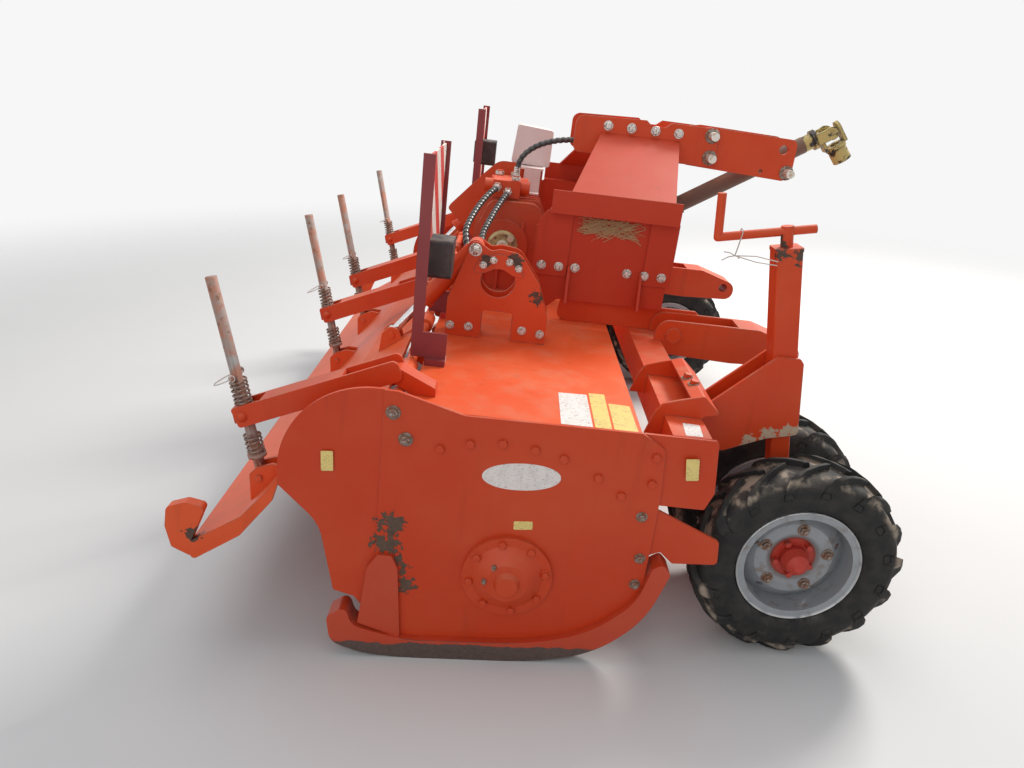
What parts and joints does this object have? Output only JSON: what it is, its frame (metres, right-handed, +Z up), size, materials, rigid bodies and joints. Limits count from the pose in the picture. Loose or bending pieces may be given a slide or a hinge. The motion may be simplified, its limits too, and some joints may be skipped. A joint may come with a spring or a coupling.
{
  "type": "rotavator",
  "caption": "Tractor-hitched rotavator: bladed rotor under a hood between skidded end plates, sprung rear flap, height wheels on raked legs, gearbox headstock and parked cardan shaft",
  "frame": {"origin": "centre of the footprint at ground level, the machine parked nose down on its skids and wheels", "axes": "+X is the direction of travel (towards the tractor), +Y the machine's left along the rotor, +Z up"},
  "size_m": [2.1512, 2.812, 1.3993],
  "materials": {
    "orange_paint": "weathered orange-red gloss",
    "cast_paint": "orange paint on a cast housing",
    "cover_plate": "dulled zinc cover",
    "skid_steel": "orange paint worn bare at the sole",
    "blade_steel": "soil-polished and rusted steel",
    "rod_steel": "weathered primered steel",
    "pin_steel": "zinc-plated steel",
    "chrome_rod": "polished",
    "shaft_paint": "dark rusty tube",
    "yoke_paint": "worn ochre paint",
    "post_paint": "dark red",
    "black_plastic": "black",
    "box_plastic": "faded pale red",
    "hose_rubber": "black",
    "tyre_rubber": "dusty black",
    "rim_grey": "grey"
  },
  "bodies": {
    "frame": {"end_plate_right": "orange_paint", "end_plate_left": "orange_paint", "skids": "skid_steel", "bearing_cap": "orange_paint", "side_gear_case": "orange_paint", "cross_shaft_tube": "orange_paint", "deck": "orange_paint", "rotor_hood": "orange_paint", "front_beam": "orange_paint", "wheel_clamps": "orange_paint", "leg_sleeves": "orange_paint", "cranks": "orange_paint", "gearbox": "cast_paint", "gearbox_cover": "cover_plate", "control_valve": "orange_paint", "control_box": "box_plastic", "base_plates": "orange_paint", "lower_arms": "orange_paint", "headstock_sides": "orange_paint", "top_plates": "orange_paint", "top_link_arms": "orange_paint", "hitch_pins": "pin_steel", "cardan_tube": "shaft_paint", "cardan_joints": "yoke_paint", "flap_arms": "orange_paint", "arch_brackets": "orange_paint", "marker_boards": "post_paint", "lamps": "black_plastic", "hose_rear": "hose_rubber", "hose_middle": "hose_rubber", "hose_front": "hose_rubber"},
    "rotor": {"rotor_shaft": "blade_steel", "rotor_blades": "blade_steel"},
    "leg_right": {"inner_leg_right": "orange_paint"},
    "leg_left": {"inner_leg_left": "orange_paint"},
    "wheels_right": {"tyres_right": "tyre_rubber", "wheel_rims_right": "rim_grey"},
    "wheels_left": {"tyres_left": "tyre_rubber", "wheel_rims_left": "rim_grey"},
    "flap": {"flap_sheet": "orange_paint", "flap_fittings": "orange_paint"},
    "trunnions": {"trunnions": "rod_steel"},
    "spring_rods": {"spring_rods": "rod_steel"},
    "cylinder_barrels": {"cylinder_barrels": "orange_paint"},
    "cylinder_rods": {"cylinder_rods": "chrome_rod"}
  },
  "joints": [
    {"name": "rotor_spin", "type": "hinge", "parent": "frame", "child": "rotor", "pos_m": [-0.16705, -0.026, 0.2714], "axis": [0, 1, 0], "continuous": true},
    {"name": "leg_right_slide", "type": "slide", "parent": "frame", "child": "leg_right", "axis": [-0.1149, 0, 0.9934], "range_m": [-0.12, 0.1]},
    {"name": "leg_left_slide", "type": "slide", "parent": "frame", "child": "leg_left", "axis": [-0.1149, 0, 0.9934], "range_m": [-0.12, 0.1]},
    {"name": "wheels_right_spin", "type": "hinge", "parent": "leg_right", "child": "wheels_right", "pos_m": [0.62686, -1.066, 0.29], "axis": [0, 1, 0], "continuous": true},
    {"name": "wheels_left_spin", "type": "hinge", "parent": "leg_left", "child": "wheels_left", "pos_m": [0.62686, 1.014, 0.29], "axis": [0, 1, 0], "continuous": true},
    {"name": "flap_hinge", "type": "hinge", "parent": "frame", "child": "flap", "pos_m": [-0.46088, -0.026, 0.74391], "axis": [0, 1, 0], "range_deg": [0, 4.5]},
    {"name": "trunnion_turn", "type": "hinge", "parent": "frame", "child": "trunnions", "pos_m": [-0.86734, -0.026, 0.66488], "axis": [0, 1, 0], "range_deg": [0, 5.53]},
    {"name": "spring_rod_slide", "type": "slide", "parent": "trunnions", "child": "spring_rods", "axis": [-0.1481, 0, 0.989], "range_m": [0, 0.03238]},
    {"name": "cylinder_turn", "type": "hinge", "parent": "frame", "child": "cylinder_barrels", "pos_m": [-0.29735, -0.026, 1.01191], "axis": [0, 1, 0], "range_deg": [0, 0.954]},
    {"name": "cylinder_stroke", "type": "slide", "parent": "cylinder_barrels", "child": "cylinder_rods", "axis": [0.6817, 0, 0.7316], "range_m": [0, 0.00515]}
  ],
  "couplings": [
    {"joint": "trunnion_turn", "follows": "flap_hinge", "ratio": 1.2284},
    {"joint": "spring_rod_slide", "follows": "flap_hinge", "m_per_rad": 0.41224},
    {"joint": "cylinder_turn", "follows": "flap_hinge", "ratio": 0.212},
    {"joint": "cylinder_stroke", "follows": "flap_hinge", "m_per_rad": 0.065624}
  ]
}
